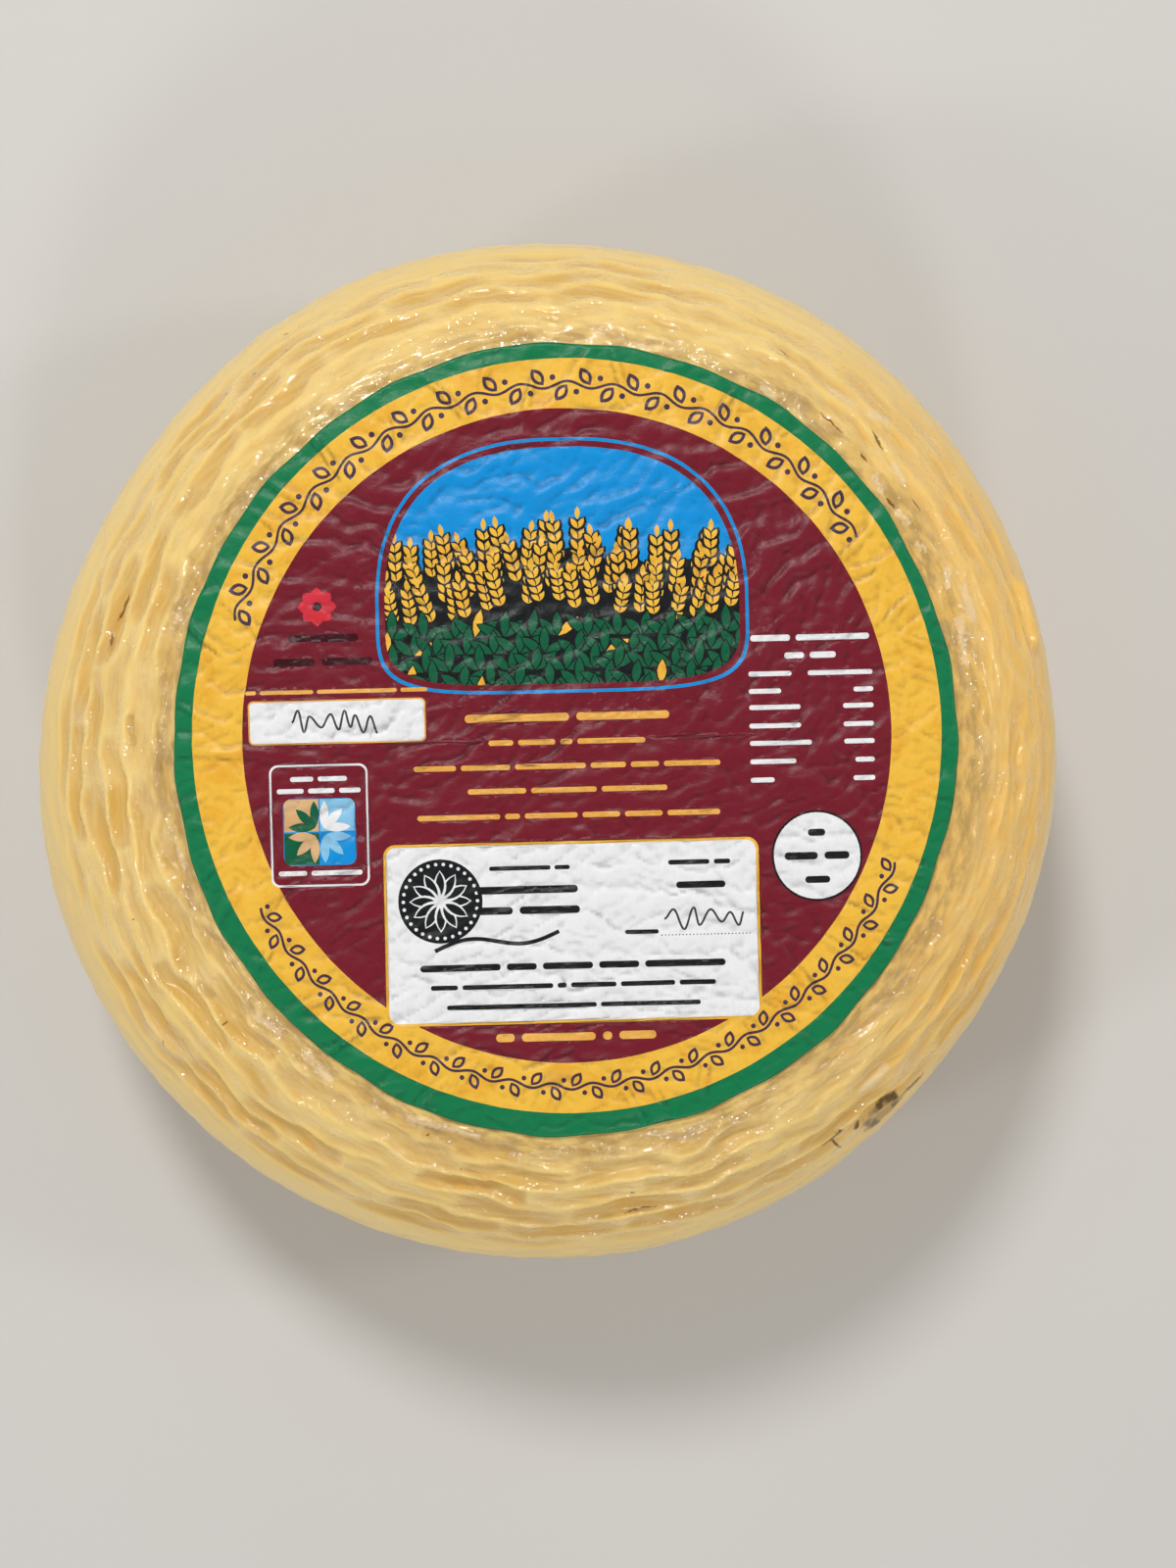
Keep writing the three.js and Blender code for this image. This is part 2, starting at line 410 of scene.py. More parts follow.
# Olive mould: a smudge, a spot and a streak with a hook
MOULD = marks(
    (309.6, 26, 310.6, 31, 1.5), (311.2, 23.5, 312.4, 22.4, 1.1), (312.4, 22.4, 313.8, 24.5, 1.3),
    (313.8, 24.5, 313.6, 29, 1.3), (315.2, 27, 317.6, 27.6, 1), (308, 23.2, 308.4, 22.2, 0.85),
    (303.4, 21.6, 306, 19.8, 0.6), (304.5, 20.8, 305.4, 27.5, 0.4),
)

# Paler olive round it
HALO = marks(
    (309.8, 25, 313.4, 24, 3.4), (310.2, 29, 314, 28, 3.6), (315, 27.5, 318, 28, 2),
    (303.6, 21.4, 306, 20, 1.3),
)


def mark_relief(places, marks):
    """The highest swell of some marks at each place."""
    swells = [mark.strength * np.clip(1 - mark.distance(places) ** 2, 0, 1) ** 2 for mark in marks]
    return np.max(swells, axis=0)


def rind(angle, down):
    """Points of the rind, and for its colour how hollow, how much a thin crest and how worn each is."""
    bent = down + BEND_REACH * round_ripples(angle, down, BEND_SIZE, BEND_SIZE, seed=3)
    bent += KINK_REACH * round_ripples(angle, down, KINK_SIZE, KINK_SIZE, seed=5)
    radius, height, out_radius, out_height = section_at(down)
    share, shift = lean_at(height)
    belly = 1 - share ** 2
    depth, hollow = imprint(angle, bent)
    kept = imprint_share(angle, down, height)
    lump = LUMP_HEIGHT * belly * lumps(angle / TURN * LUMPS_ROUND, down / LUMP_PITCH, LUMPS_ROUND)
    strand = round_ripples(angle, bent, STRAND_LENGTH, STRAND_PITCH, seed=17)
    strand = np.clip(1 - STRAND_SHARPNESS * np.abs(strand), 0, 1)
    calm = unworn(angle, down, height)
    fine = KNOB_HEIGHT * round_ripples(angle, down, KNOB_SIZE, KNOB_SIZE, seed=11)
    fine += STRAND_HEIGHT * strand * calm
    wrinkle = 1 - 2 * np.abs(round_ripples(angle, bent, WRINKLE_LENGTH, WRINKLE_PITCH, seed=29))
    wrinkled = smoothstep(-down, *WRINKLED_BAND)
    fine += WRINKLE_HEIGHT * wrinkle * wrinkled
    places = side_place(angle, down)
    fine += mark_relief(places, FOLDS) - mark_relief(places, DENTS)
    fine *= smoothstep(down, *UNDER_PAPER)
    relief = lump - depth * kept + fine
    at_base = smoothstep(down, SIDE_LENGTH - FACE_FADE, SIDE_LENGTH)
    relief = mix(relief, -BASE_SHARE * np.abs(fine), at_base)
    radius = radius + out_radius * relief + belly * outline_lobes(angle)
    points = np.stack((
        radius * np.cos(angle) + shift[..., 0] * share,
        radius * np.sin(angle) + shift[..., 1] * share,
        height + out_height * relief,
    ), axis=-1)
    film = np.clip(wrinkle, 0, 1) * wrinkled
    return points, hollow * kept, np.maximum(strand * calm, film), 1 - calm


def add_object(name, data):
    holder = bpy.data.objects.new(name, data)
    bpy.context.scene.collection.objects.link(holder)
    return holder


def add_mesh(name, points, faces):
    mesh = bpy.data.meshes.new(name)
    mesh.from_pydata((np.asarray(points) * MM).tolist(), [], faces)
    mesh.shade_smooth()
    return add_object(name, mesh)


def add_attribute(piece, name, kind, values, domain="POINT"):
    field = {"FLOAT": "value", "FLOAT_VECTOR": "vector", "FLOAT_COLOR": "color"}[kind]
    attribute = piece.data.attributes.new(name, kind, domain)
    attribute.data.foreach_set(field, np.ascontiguousarray(values, dtype=np.float32).ravel())


def build_rind():
    angles = np.arange(COLUMNS) / COLUMNS * TURN
    bottom = SIDE_LENGTH + BASE_RADIUS
    downs = np.concatenate((
        np.linspace(-RIM_WIDTH, 0, RIM_RINGS, endpoint=False),
        np.linspace(0, UPPER_LENGTH, UPPER_RINGS, endpoint=False),
        np.linspace(UPPER_LENGTH, SIDE_LENGTH, LOWER_RINGS, endpoint=False),
        np.linspace(SIDE_LENGTH, bottom, BASE_RINGS, endpoint=False),
    ))
    grid_angle, grid_down = np.meshgrid(angles, downs)
    rings, hollow, strand, worn = rind(grid_angle, grid_down)
    centres = np.array(((*TOP_SHIFT, HEIGHT), (*BASE_SHIFT, 0)))
    points = np.concatenate((rings.reshape(-1, 3), centres))
    faces = []
    for ring in range(len(downs) - 1):
        for i in range(COLUMNS):
            j = (i + 1) % COLUMNS
            upper, lower = ring * COLUMNS, (ring + 1) * COLUMNS
            faces.append((upper + i, lower + i, lower + j, upper + j))
    last = (len(downs) - 1) * COLUMNS
    for i in range(COLUMNS):
        j = (i + 1) % COLUMNS
        faces.append((len(points) - 2, i, j))
        faces.append((len(points) - 1, last + j, last + i))
    piece = add_mesh("rind", points - BELLY_OFFSET, faces)

    places = side_place(grid_angle, grid_down)
    fields = {"hollow": hollow, "strand": strand, "worn": worn}
    for name, group in (("pale", PALE_PATCHES), ("sparkle", SPARKLES), ("stain", STAINS), ("halo", HALO)):
        fields[name] = mark_relief(places, group)
    for name, values in fields.items():
        add_attribute(piece, name, "FLOAT", np.concatenate((values.ravel(), (0, 0))))
    add_attribute(piece, "down", "FLOAT", np.concatenate((grid_down.ravel(), (-TOP_RADIUS, bottom))))
    ends = side_place(np.zeros(2), np.array((-TOP_RADIUS, bottom)))
    straight = (BELLY_RADIUS * np.cos(grid_angle), BELLY_RADIUS * np.sin(grid_angle), -grid_down)
    for name, values in (("side", places), ("rolled", np.stack(straight, axis=-1))):
        add_attribute(piece, name, "FLOAT_VECTOR", np.concatenate((values.reshape(-1, 3), ends)) * MM)
    return piece


# Shapes of the print, in millimetres from the label's centre

def toward(angle):
    return np.array((math.cos(angle), math.sin(angle)))


def turned(points, angle, centre=(0, 0)):
    points = np.asarray(points, dtype=float)
    cos, sin = math.cos(angle), math.sin(angle)
    return points @ np.array(((cos, sin), (-sin, cos))) + centre


def disc(centre, radius, sides=48):
    angle = np.arange(sides) / sides * TURN
    return np.stack((np.cos(angle), np.sin(angle)), axis=1) * radius + centre


def rounded_box(centre, width, height, corner, steps=5):
    points = []
    for quarter, (sx, sy) in enumerate(((1, 1), (-1, 1), (-1, -1), (1, -1))):
        middle = np.array((sx * (width / 2 - corner), sy * (height / 2 - corner)))
        for step in range(steps + 1):
            angle = (quarter + step / steps) * math.pi / 2
            points.append(middle + corner * toward(angle))
    return np.array(points) + centre


def leaf(root, length, width, angle, steps=6):
    """A leaf from its root, pointed at both ends."""
    t = np.linspace(0, 1, steps + 1)
    half = width / 2 * np.sin(math.pi * t) ** 0.8
    edge = np.concatenate((np.stack((t * length, half), 1), np.stack((t * length, -half), 1)[-2:0:-1]))
    return turned(edge, angle, root)


def stroke(line, width):
    """A polygon along an open line, with square ends."""
    line = np.asarray(line, dtype=float)
    along = np.gradient(line, axis=0)
    along /= np.linalg.norm(along, axis=1)[:, None]
    across = np.stack((-along[:, 1], along[:, 0]), axis=1) * width / 2
    return np.concatenate((line + across, (line - across)[::-1]))


INKS = {
    "green": (0.002, 0.19, 0.066),
    "yellow": (0.9, 0.517, 0.055),
    "maroon": (0.18, 0.008, 0.02),
    "white": (0.845, 0.845, 0.845),
    "ochre": (0.855, 0.44, 0.086),
    "violet": (0.065, 0.03, 0.06),
    "black": (0.006, 0.007, 0.008),
    "blue": (0.001, 0.28, 0.7),
    "leaf": (0.002, 0.11, 0.045),
    "red": (0.665, 0.03, 0.055),
    "sky": (0.25, 0.55, 0.78),
    "sand": (0.72, 0.45, 0.22),
    "pen": (0.04, 0.04, 0.05),
    "plum": (0.045, 0.002, 0.006),
}


class Print:
    """What is printed on the label, from the lowest ink up: each shape with its ink and its window."""

    def __init__(self):
        self.shapes = []

    def add(self, ink, shape, window=None):
        self.shapes.append((ink, np.asarray(shape, dtype=float), window))

    def words(self, ink, centre, width, height, lengths):
        """A line of word-long bars that fills a width."""
        gap = 0.9 * height
        scale = (width - gap * (len(lengths) - 1)) / sum(lengths)
        x = centre[0] - width / 2
        for length in lengths:
            wide = length * scale
            self.add(ink, rounded_box((x + wide / 2, centre[1]), wide, height, height * 0.45, steps=3))
            x += wide + gap

    def lines(self, ink, *rows):
        """Lines of bars: each one's centre, width and height, and how long its words are."""
        for row in rows:
            self.words(ink, *row)


def print_bands(art):
    """The yellow band and the maroon middle, on the green sheet."""
    for ink, radii in (("yellow", YELLOW_RADII), ("maroon", MAROON_RADII)):
        art.add(ink, disc((0, 0), 1, sides=180) * radii + BAND_CENTRE)


def print_vine(art, first, last, tall, leaves):
    """A stem with outlined leaves on both sides in the yellow band, between two angles in degrees."""
    radius = (YELLOW_RADII + MAROON_RADII).mean() / 2
    first, last = math.radians(first), math.radians(last)
    t = np.linspace(0, 1, leaves * 7 + 1)
    angle = first + (last - first) * t
    out = radius + 0.1 * tall * np.sin(t * leaves * math.pi)
    stem = np.stack((out * np.cos(angle), out * np.sin(angle)), axis=1)
    art.add("violet", stroke(stem + BAND_CENTRE, 0.5))
    for spot in range(leaves):
        at = first + (last - first) * (spot + 0.5) / leaves
        side = 1 if spot % 2 else -1
        root = toward(at) * radius + BAND_CENTRE
        tilt = at + (0 if side > 0 else math.pi) + side * 0.6
        art.add("violet", leaf(root, 0.6 * tall, 0.38 * tall, tilt))
        inner = root + 0.12 * tall * toward(tilt)
        art.add("yellow", leaf(inner, 0.34 * tall, 0.17 * tall, tilt))
        bud = root + 0.36 * tall * toward(tilt - side * 1.5)
        art.add("violet", disc(bud, 0.09 * tall, sides=10))


def print_text_blocks(art):
    """Bars in place of the lines of words."""
    art.lines(
        "ochre",
        ((0.4, 4.2), 37.8, 1.5, (9, 8)),
        ((0.3, -0.4), 29, 1, (4, 6, 2, 11)),
        ((0.2, -4.9), 56.7, 1, (6, 7, 10, 5, 4, 8)),
        ((0.2, -9.3), 36.9, 1, (8, 9, 9)),
        ((0.3, -14), 56, 1, (11, 2, 7, 5, 5, 7)),
        ((0.7, -54.9), 29.6, 1.5, (2, 8, 1, 4)),
        ((-42.1, 9.9), 33.6, 0.75, (2, 10, 15, 5)),
    )
    art.lines("plum", ((-44.3, 19.8), 13, 1.4, (8,)), ((-44.4, 15.4), 18.5, 1.4, (4, 5)))


# The table's rows: height on the label, and how long the word and the figure are
TABLE_ROWS = (
    (11.2, 8, 12), (8, 6, 3.6), (5, 9.5, 5.6), (1.6, 9.5, 5.6),
    (-1.6, 11.5, 5.6), (-5, 8.5, 3.6), (-8.4, 4.4, 4),
)
TABLE_WIDTH = 23
TABLE_BAR = 0.9


def print_table(art):
    """A heading and rows of a word and a figure, in white."""
    middle = 45.6
    art.lines("white", ((middle, 17.8), 22, 1.15, (6, 11)), ((middle, 14.5), 9.5, 1.15, (3, 4)))
    for y, word, figure in TABLE_ROWS:
        art.words("white", (middle - TABLE_WIDTH / 2 + word / 2, y), word, TABLE_BAR, (1,))
        art.words("white", (middle + TABLE_WIDTH / 2 - figure / 2, y), figure, TABLE_BAR, (1,))


def print_rosette(art, centre, radius, petals, ink, heart):
    for petal in range(petals):
        angle = petal / petals * TURN
        art.add(ink, leaf(centre, radius, radius * 0.75, angle))
    art.add(heart, disc(centre, radius * 0.24, sides=16))


def print_tile(art):
    """A small framed tile: four fields with a leaf in each."""
    centre = np.array((-45.8, -14.8))
    art.add("white", rounded_box(centre, 18.2, 22.6, 1.6))
    art.add("maroon", rounded_box(centre, 17.4, 21.8, 1.3))
    for rise, width, lengths in ((8.6, 10.5, (4, 5)), (6.4, 15.5, (5, 5, 4)), (-8.8, 15.5, (5, 9))):
        art.words("white", centre + (0, rise), width, 0.9, lengths)
    window = rounded_box(centre + (0, -1.2), 13.4, 12.4, 1.6)
    art.add("blue", window)
    half_wide, half_high = 6.7, 6.2
    fields = (("sand", -1, 1), ("sky", 1, 1), ("leaf", -1, -1), ("blue", 1, -1))
    leaves = ("leaf", "white", "sand", "sky")
    for (ink, sx, sy), leaf_ink in zip(fields, leaves):
        middle = centre + (sx * half_wide / 2, -1.2 + sy * half_high / 2)
        art.add(ink, rounded_box(middle, half_wide - 0.25, half_high - 0.25, 0.05, steps=1), window)
        lean = math.atan2(sy, sx)
        root = middle - 0.38 * np.array((sx * half_wide, sy * half_high))
        for turn in (-0.75, 0, 0.75):
            art.add(leaf_ink, leaf(root, 5, 1.7, lean + turn), window)


# A wave of the pen: its steps, and its swings as shares of the greatest
PEN_STEP = (0.9, 2.2)
PEN_SWING = (0.3, 1)
PEN_WIDTH = 0.4


def pen_line(start, width, height, seed):
    """A quick wave of a pen, uneven in height and step."""
    draw = random.Random(seed)
    corners = [start]
    while corners[-1][0] < start[0] + width:
        side = 1 if len(corners) % 2 else -1
        x = corners[-1][0] + draw.uniform(*PEN_STEP)
        corners.append((x, start[1] + side * height / 2 * draw.uniform(*PEN_SWING)))
    corners = np.array(corners)
    fine = np.linspace(0, len(corners) - 1, len(corners) * 8)
    turn = fine - np.floor(fine)
    eased = np.floor(fine) + (1 - np.cos(math.pi * turn)) / 2
    x = np.interp(fine, np.arange(len(corners)), corners[:, 0])
    return np.stack((x, np.interp(eased, np.arange(len(corners)), corners[:, 1])), axis=1)


def print_badge(art, centre, radius):
    """A dark round badge with a ring of dots round a flower."""
    art.add("black", disc(centre, radius))
    dots = 30
    for dot in range(dots):
        angle = dot / dots * TURN
        art.add("white", disc(centre + 0.88 * radius * toward(angle), 0.34, sides=8))
    for petal in range(12):
        angle = petal / 12 * TURN
        art.add("white", leaf(centre, 0.74 * radius, 0.3 * radius, angle))
        root = centre + 0.12 * radius * toward(angle)
        art.add("black", leaf(root, 0.58 * radius, 0.2 * radius, angle))
    art.add("white", disc(centre, 0.14 * radius, sides=16))


def print_white_panel(art):
    centre = np.array((0.5, -35.6))
    art.add("yellow", rounded_box(centre, 69.4, 33.6, 2.2))
    art.add("white", rounded_box(centre, 68.4, 32.6, 1.8))
    print_badge(art, np.array((-23.8, -29.4)), 7.8)
    art.lines(
        "black",
        ((-7.2, -23.6), 14.9, 0.8, (8, 2)),
        ((-7.7, -27.6), 18.7, 1.4, (8,)),
        ((-7.6, -31.4), 19.1, 1.4, (3, 5)),
    )
    t = np.linspace(0, 1, 25)
    swash = np.stack((-25 + 23 * t, -38.6 + 3.2 * t + 1.2 * np.sin(t * TURN)), axis=1)
    art.add("black", stroke(swash, 0.75))
    art.lines(
        "black",
        ((24.2, -23.2), 11.5, 0.9, (5, 2)),
        ((24.4, -27.4), 9.1, 1.25, (6,)),
        ((13.3, -35.9), 6.2, 0.8, (5,)),
    )
    art.add("pen", stroke(pen_line((17.5, -33.6), 14, 4.2, seed=5), PEN_WIDTH))
    for dot in range(26):
        art.add("black", disc((17 + dot * 0.65, -36.6), 0.13, sides=8))
    art.lines(
        "black",
        ((0.4, -41.8), 56.4, 1.25, (8, 3, 5, 4, 8)),
        ((0.4, -45.4), 52.7, 0.9, (3, 10, 1, 5, 6, 4)),
        ((0.4, -49.1), 46.9, 0.85, (15, 10)),
    )


def print_small_fields(art):
    """The date box and the round mark."""
    date = (-42.1, 4.3)
    art.add("ochre", rounded_box(date, 32.8, 8.2, 1))
    art.add("white", rounded_box(date, 32.2, 7.6, 0.8))
    art.add("pen", stroke(pen_line((-50.5, 4.3), 15, 4.6, seed=8), PEN_WIDTH))
    mark = np.array((46, -22.6))
    art.add("black", disc(mark, 8.4))
    art.add("white", disc(mark, 8))
    for rise, width, tall, lengths in ((4.3, 3.2, 1.3, (1,)), (0, 12, 1.4, (4, 3)), (-4.4, 4.6, 1.3, (1,))):
        art.words("black", mark + (0, rise), width, tall, lengths)


def arch(drawn_in):
    """The picture's window: a dome with full shoulders over a flatter foot."""
    half, foot, waist, crown = 34.5 - drawn_in, 8.6 + drawn_in, 24, 55.8 - drawn_in
    angle = np.linspace(0, TURN, 96, endpoint=False)
    fullness = np.where(np.sin(angle) > 0, 2.5, 4.5)
    x = half * np.sign(np.cos(angle)) * np.abs(np.cos(angle)) ** (2 / fullness)
    tall = np.where(np.sin(angle) > 0, crown - waist, waist - foot)
    y = waist + tall * np.sign(np.sin(angle)) * np.abs(np.sin(angle)) ** (2 / fullness)
    return np.stack((x, y), axis=1)


def print_picture(art):
    """Ears of wheat over a bed of leaves, under a plain blue sky."""
    art.add("blue", arch(0))
    art.add("maroon", arch(0.6))
    window = arch(1.7)
    art.add("blue", window)
    draw = random.Random(7)
    x = np.linspace(-36, 36, 80)
    ground = 33.5 + 1.6 * np.sin(x * 0.13 + 2) + 0.8 * np.sin(x * 0.61)
    art.add("black", np.concatenate((np.stack((x, ground), axis=1), [(36, 0), (-36, 0)])), window)
    for ears, low, tall in ((21, 29, 9.5), (22, 25, 9), (21, 21.4, 8)):
        for ear in range(ears):
            x = -34 + 68 * ear / (ears - 1) + draw.uniform(-0.6, 0.6)
            root = np.array((x, low + 1.6 * math.sin(0.13 * x + 2) + draw.uniform(-0.9, 0.9)))
            lean = math.pi / 2 - 0.007 * x + draw.uniform(-0.22, 0.22)
            print_ear(art, root, lean, tall + draw.uniform(-1.2, 1.2), window)
    for row in range(5):
        for spot in range(15):
            root = np.array((-36 + 5.1 * spot + 2.5 * (row % 2) + draw.uniform(-0.8, 0.8), 19 - 3.1 * row))
            for lean in (-1, 0.9, -0.1):
                tilt = math.pi / 2 + lean + draw.uniform(-0.18, 0.18)
                length = draw.uniform(4.6, 6)
                ink = "leaf" if draw.random() < 0.96 else "yellow"
                art.add("black", leaf(root, length, 2.3, tilt, steps=4), window)
                inner = root + 0.3 * toward(tilt)
                art.add(ink, leaf(inner, length - 0.6, 1.7, tilt, steps=4), window)


def print_ear(art, root, lean, tall, window):
    """One ear of wheat: a black stem, and pairs of yellow grains up to the tip."""
    up = toward(lean)
    art.add("black", stroke([root, root + up * tall * 0.5, root + up * tall], 0.5), window)
    pairs = 4
    for pair in range(pairs):
        at = root + up * tall * (0.25 + 0.75 * pair / pairs)
        for side in (-1, 1):
            art.add("black", leaf(at, 2.9, 1.9, lean + side * 0.55, steps=4), window)
            art.add("yellow", leaf(at + up * 0.25, 2.3, 1, lean + side * 0.55, steps=4), window)
    art.add("yellow", leaf(root + up * tall, 2.4, 1, lean, steps=4), window)


def design_label():
    art = Print()
    print_bands(art)
    print_vine(art, 33, 159.5, 6.2, 33)
    print_vine(art, 208, 337.5, 5.2, 39)
    print_picture(art)
    print_rosette(art, (-45.3, 25.6), 3.6, 8, "red", "plum")
    print_text_blocks(art)
    print_table(art)
    print_tile(art)
    print_small_fields(art)
    print_white_panel(art)
    return art


# The label's surface

PAPER_RISE = 1.3

# Broad swells: height, size across and down, and seed
SWELLS = ((0.12, 19, 19, 41), (0.1, 8, 6, 43))

# Fine crumple: height, size across and down, and how its lines bend: size and reach
CRUMPLE_TALL = 0.1
CRUMPLE_CELL = (4.5, 2.4)
CRUMPLE_BEND = (4, 1.3)

# Main, broad and crossing folds: height, degrees from the main ones, pitch and seed
FOLD_KINDS = ((0.9, 0, 5.4, 61), (0.5, -9, 12, 63), (0.28, 38, 3.3, 65))

# A fold's steeper side starts at this share of its pitch, and how its line bends: size, reach in pitches
FOLD_CREST = 0.68
FOLD_BENDS = ((11, 0.55), (4, 0.2))

# Along its line a fold is this tall, more or less by a swing over a length
FOLD_BODY = 0.45
FOLD_SWING = 1.1
FOLD_LENGTH = 13
FOLD_APART = 3.7

# What a crease is drawn from: half its length, half its width and its height
CREASE_SIZES = ((2.5, 8), (0.45, 0.85), (0.12, 0.35))
RIM_FOLD_SIZES = ((3, 9), (0.5, 0.9), (0.35, 0.75))

# Creases lie within a reach and spread round the folds' way by degrees
CREASES = 150
CREASED_REACH = 64
CREASE_SPREAD = 16

# Folds across the rim: where, how far each slips from an even step, and its turn in radians
RIM_FOLDS = 48
RIM_FOLD_REACH = (63, 71)
RIM_FOLD_SLIP = 0.45
RIM_FOLD_TURN = 0.55

# A crease's curve and what varies it, how it ends, how much steeper one side is, and room for them
CREASE_CURVE = 0.9
CURVE_CHANGE = 7
CREASE_END = 1.5
CREASE_STEEPNESS = 3
CREASE_ROOM = 3

# The paper's valleys get painted shade: how far round a point the depth is judged, and how deep the darkest
# shaded one is
NEAR = 0.7
VALLEY_DEPTH = 0.16

# Towards the rim the folds fall to this share, between these distances inside from the middle
RIM_SHARE = 0.6
FLAT_RIM = (-66, -57)
SHARE_FLOOR = 1e-6

# Which way the folds run in parts of the label: degrees, the part's middle and its reach
FOLD_WAYS = (
    (44, (36, 24), 30), (-14, (40, -30), 30), (24, (-22, -4), 24),
    (-10, (-48, 22), 22), (12, (0, 40), 24), (-4, (0, -40), 26),
)


def folds(x, y, degrees, pitch, seed):
    """Wavy folds that run in one direction, each steep on one side, from 0 to 1 high."""
    angle = math.radians(degrees)
    along = x * math.cos(angle) + y * math.sin(angle)
    across = y * math.cos(angle) - x * math.sin(angle)
    bent = across / pitch
    for size, reach in FOLD_BENDS:
        bent += reach * ripples(along / size, across / size, seed=seed)
    fold = np.floor(bent)
    rise = bent - fold
    slow = np.clip(rise / FOLD_CREST, 0, 1)
    steep = np.clip((1 - rise) / (1 - FOLD_CREST), 0, 1)
    profile = ease(np.where(rise < FOLD_CREST, slow, steep))
    tall = FOLD_BODY + FOLD_SWING * ripples(along / FOLD_LENGTH, fold * FOLD_APART, seed=seed + 3)
    return profile * np.clip(tall, 0, 1)


def near_spot(x, y, spot, reach):
    """From 1 at a spot to 0 a good way from it."""
    return np.exp(-(((x - spot[0]) / reach) ** 2) - ((y - spot[1]) / reach) ** 2)


def paper_height(x, y):
    """Height of the paper over the wheel's face: broad swells, folds, creases and folds across the rim."""
    height = sum(tall * (1 + ripples(x / wide, y / deep, seed=seed)) for tall, wide, deep, seed in SWELLS)
    shares = [near_spot(x, y, spot, reach) ** 2 for _, spot, reach in FOLD_WAYS]
    total = sum(shares) + SHARE_FLOOR
    kept = mix(RIM_SHARE, 1, smoothstep(-np.hypot(x, y), *FLAT_RIM))
    for index, (degrees, _, _) in enumerate(FOLD_WAYS):
        part = kept * shares[index] / total
        for tall, turn, pitch, seed in FOLD_KINDS:
            height += tall * part * folds(x, y, degrees + turn, pitch, seed=seed + 10 * index)
    size, reach = CRUMPLE_BEND
    bend_x, bend_y = [reach * ripples(x / size, y / size, seed=seed) for seed in (12, 14)]
    wide, deep = CRUMPLE_CELL
    height += CRUMPLE_TALL * (1 - np.abs(2 * ripples((x + bend_x) / wide, (y + bend_y) / deep, seed=71)))
    draw = random.Random(31)
    for _ in range(CREASES):
        reach = CREASED_REACH * math.sqrt(draw.random())
        place = reach * toward(draw.random() * TURN)
        degrees = max(FOLD_WAYS, key=lambda way: near_spot(*place, way[1], way[2]))[0]
        angle = math.radians(degrees + draw.gauss(0, CREASE_SPREAD))
        add_crease(height, x, y, place, angle, *[draw.uniform(*sizes) for sizes in CREASE_SIZES])
    for fold in range(RIM_FOLDS):
        at = (fold + draw.uniform(-RIM_FOLD_SLIP, RIM_FOLD_SLIP)) / RIM_FOLDS * TURN
        place = draw.uniform(*RIM_FOLD_REACH) * toward(at)
        angle = at + draw.uniform(-RIM_FOLD_TURN, RIM_FOLD_TURN)
        add_crease(height, x, y, place, angle, *[draw.uniform(*sizes) for sizes in RIM_FOLD_SIZES])
    return PAPER_RISE * np.tanh(height / PAPER_RISE)


def add_crease(height, x, y, centre, angle, half_length, half_width, tall):
    """Adds one curved ridge that fades at its ends and is steeper on one side."""
    reach = half_length + CREASE_ROOM
    near = np.flatnonzero((np.abs(x - centre[0]) < reach) & (np.abs(y - centre[1]) < reach))
    cos, sin = toward(angle)
    off_x, off_y = x[near] - centre[0], y[near] - centre[1]
    along = (off_x * cos + off_y * sin) / half_length
    across = (-off_x * sin + off_y * cos) / half_width
    across = across + CREASE_CURVE * math.cos(CURVE_CHANGE * centre[0]) * along ** 2
    fade = np.clip(1 - along ** 2, 0, 1) ** CREASE_END
    fall = np.where(across > 0, across ** 2 * CREASE_STEEPNESS, across ** 2)
    height[near] += tall * fade * np.exp(-fall)


def inside(points, shape):
    """Which of some points, given in order of their height, lie inside a polygon."""
    low, high = shape.min(axis=0), shape.max(axis=0)
    first, last = np.searchsorted(points[:, 1], (low[1], high[1]))
    near = first + np.flatnonzero((points[first:last, 0] >= low[0]) & (points[first:last, 0] <= high[0]))
    x, y = points[near, 0], points[near, 1]
    hit = np.zeros(len(near), dtype=bool)
    for (x0, y0), (x1, y1) in zip(shape, np.roll(shape, -1, axis=0)):
        if y0 != y1:
            crosses = (y0 > y) != (y1 > y)
            hit ^= crosses & (x < (x1 - x0) * (y - y0) / (y1 - y0) + x0)
    found = np.zeros(len(points), dtype=bool)
    found[near[hit]] = True
    return found


def label_outline(sides=240):
    angle = np.arange(sides) / sides * TURN
    wave = sum(high * np.cos(count * angle + start) for high, count, start in EDGE_WAVES)
    edge = (np.cos(angle) * (LABEL_RADII[0] + wave), np.sin(angle) * (LABEL_RADII[1] + wave))
    return np.stack(edge, axis=1)


def paper_grid(outline):
    """Points spread evenly over the paper in a triangular grid."""
    rows = np.arange(-LABEL_RADII[1], LABEL_RADII[1], PAPER_GRID * math.sqrt(3) / 2)
    points = []
    for index, y in enumerate(rows):
        xs = np.arange(-LABEL_RADII[0], LABEL_RADII[0], PAPER_GRID) + (index % 2) * PAPER_GRID / 2
        points.append(np.stack((xs, np.full_like(xs, y)), axis=1))
    points = np.concatenate(points)
    return points[inside(points, outline * (1 - GRID_GAP * PAPER_GRID / LABEL_RADII.mean()))]


